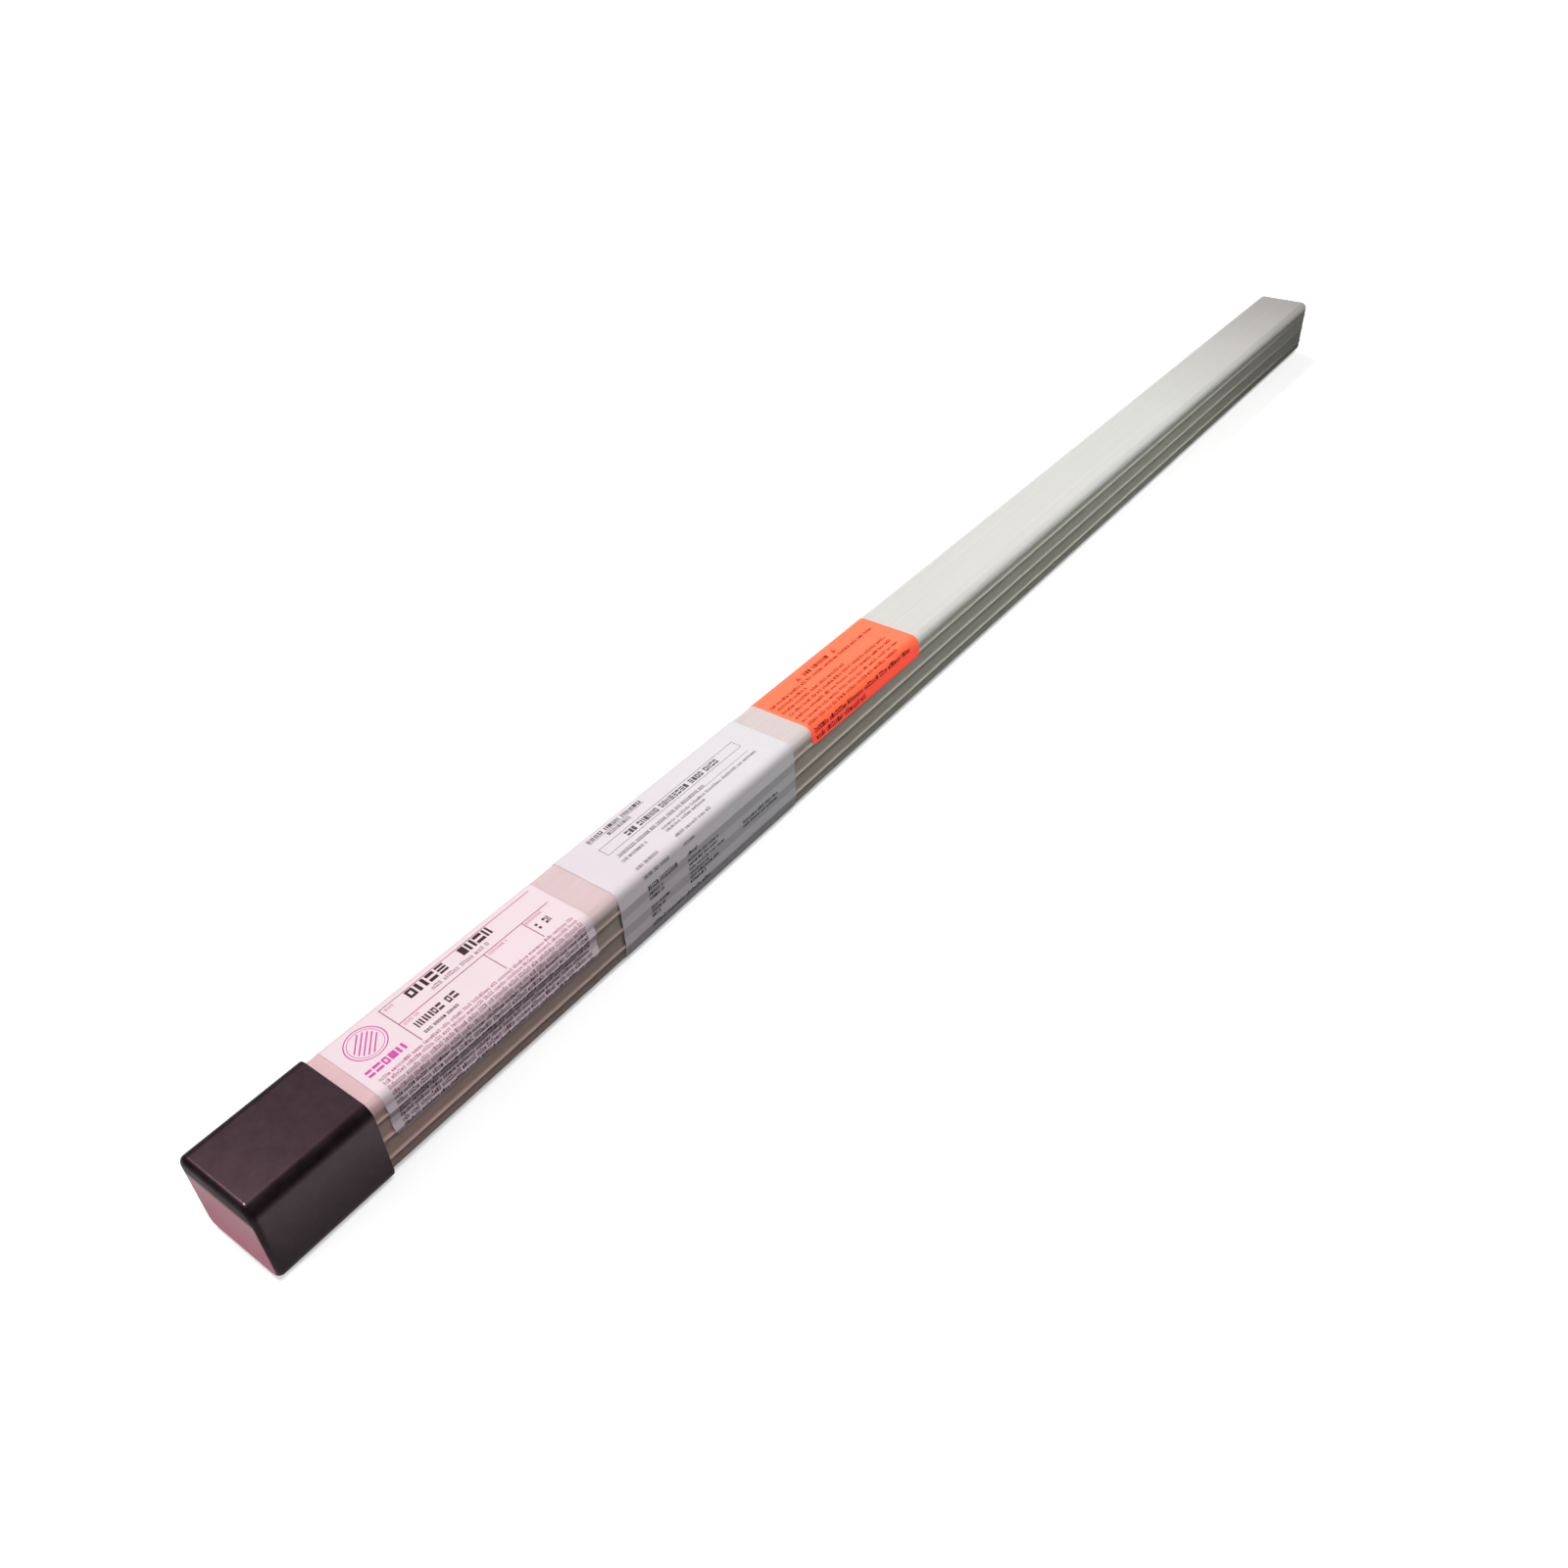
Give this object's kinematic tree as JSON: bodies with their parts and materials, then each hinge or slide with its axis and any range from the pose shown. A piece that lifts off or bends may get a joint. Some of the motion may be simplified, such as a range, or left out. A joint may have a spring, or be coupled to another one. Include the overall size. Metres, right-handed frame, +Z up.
{
  "type": "tube of tig filler rods",
  "caption": "Square ribbed plastic tube with a slip-on black end cap, a flush end plug, paper labels and loose straight filler rods inside.",
  "frame": {"origin": "under the middle of the whole length, in the plane of the cap's underside", "axes": "+X from the cap to the far end, +Z up, the ribbed sides face -Y and +Y"},
  "size_m": [0.929, 0.0394, 0.0377],
  "materials": {
    "tube_plastic": "satin",
    "cap_vinyl": "satin",
    "label_paper": "semi-gloss sticker",
    "wrap_paper": "uncoated",
    "orange_paper": "fluorescent sticker",
    "rod_steel": "drawn wire"
  },
  "bodies": {
    "tube_body": {"tube": "tube_plastic", "end_plug": "tube_plastic", "front_label": "label_paper", "paper_wrap": "wrap_paper", "orange_sticker": "orange_paper", "filler_rod_01": "rod_steel", "filler_rod_02": "rod_steel", "filler_rod_03": "rod_steel", "filler_rod_04": "rod_steel", "filler_rod_05": "rod_steel", "filler_rod_06": "rod_steel", "filler_rod_07": "rod_steel", "filler_rod_08": "rod_steel", "filler_rod_09": "rod_steel", "filler_rod_10": "rod_steel", "filler_rod_11": "rod_steel", "filler_rod_12": "rod_steel", "filler_rod_13": "rod_steel", "filler_rod_14": "rod_steel", "filler_rod_15": "rod_steel", "filler_rod_16": "rod_steel", "filler_rod_17": "rod_steel", "filler_rod_18": "rod_steel", "filler_rod_19": "rod_steel", "filler_rod_20": "rod_steel", "filler_rod_21": "rod_steel", "filler_rod_22": "rod_steel", "filler_rod_23": "rod_steel", "filler_rod_24": "rod_steel", "filler_rod_25": "rod_steel", "filler_rod_26": "rod_steel", "filler_rod_27": "rod_steel", "filler_rod_28": "rod_steel", "filler_rod_29": "rod_steel", "filler_rod_30": "rod_steel", "filler_rod_31": "rod_steel", "filler_rod_32": "rod_steel"},
    "cap_body": {"end_cap": "cap_vinyl"}
  },
  "joints": [
    {"name": "cap_pull", "type": "slide", "parent": "tube_body", "child": "cap_body", "axis": [-1, 0, 0], "range_m": [0, 0.07]}
  ]
}
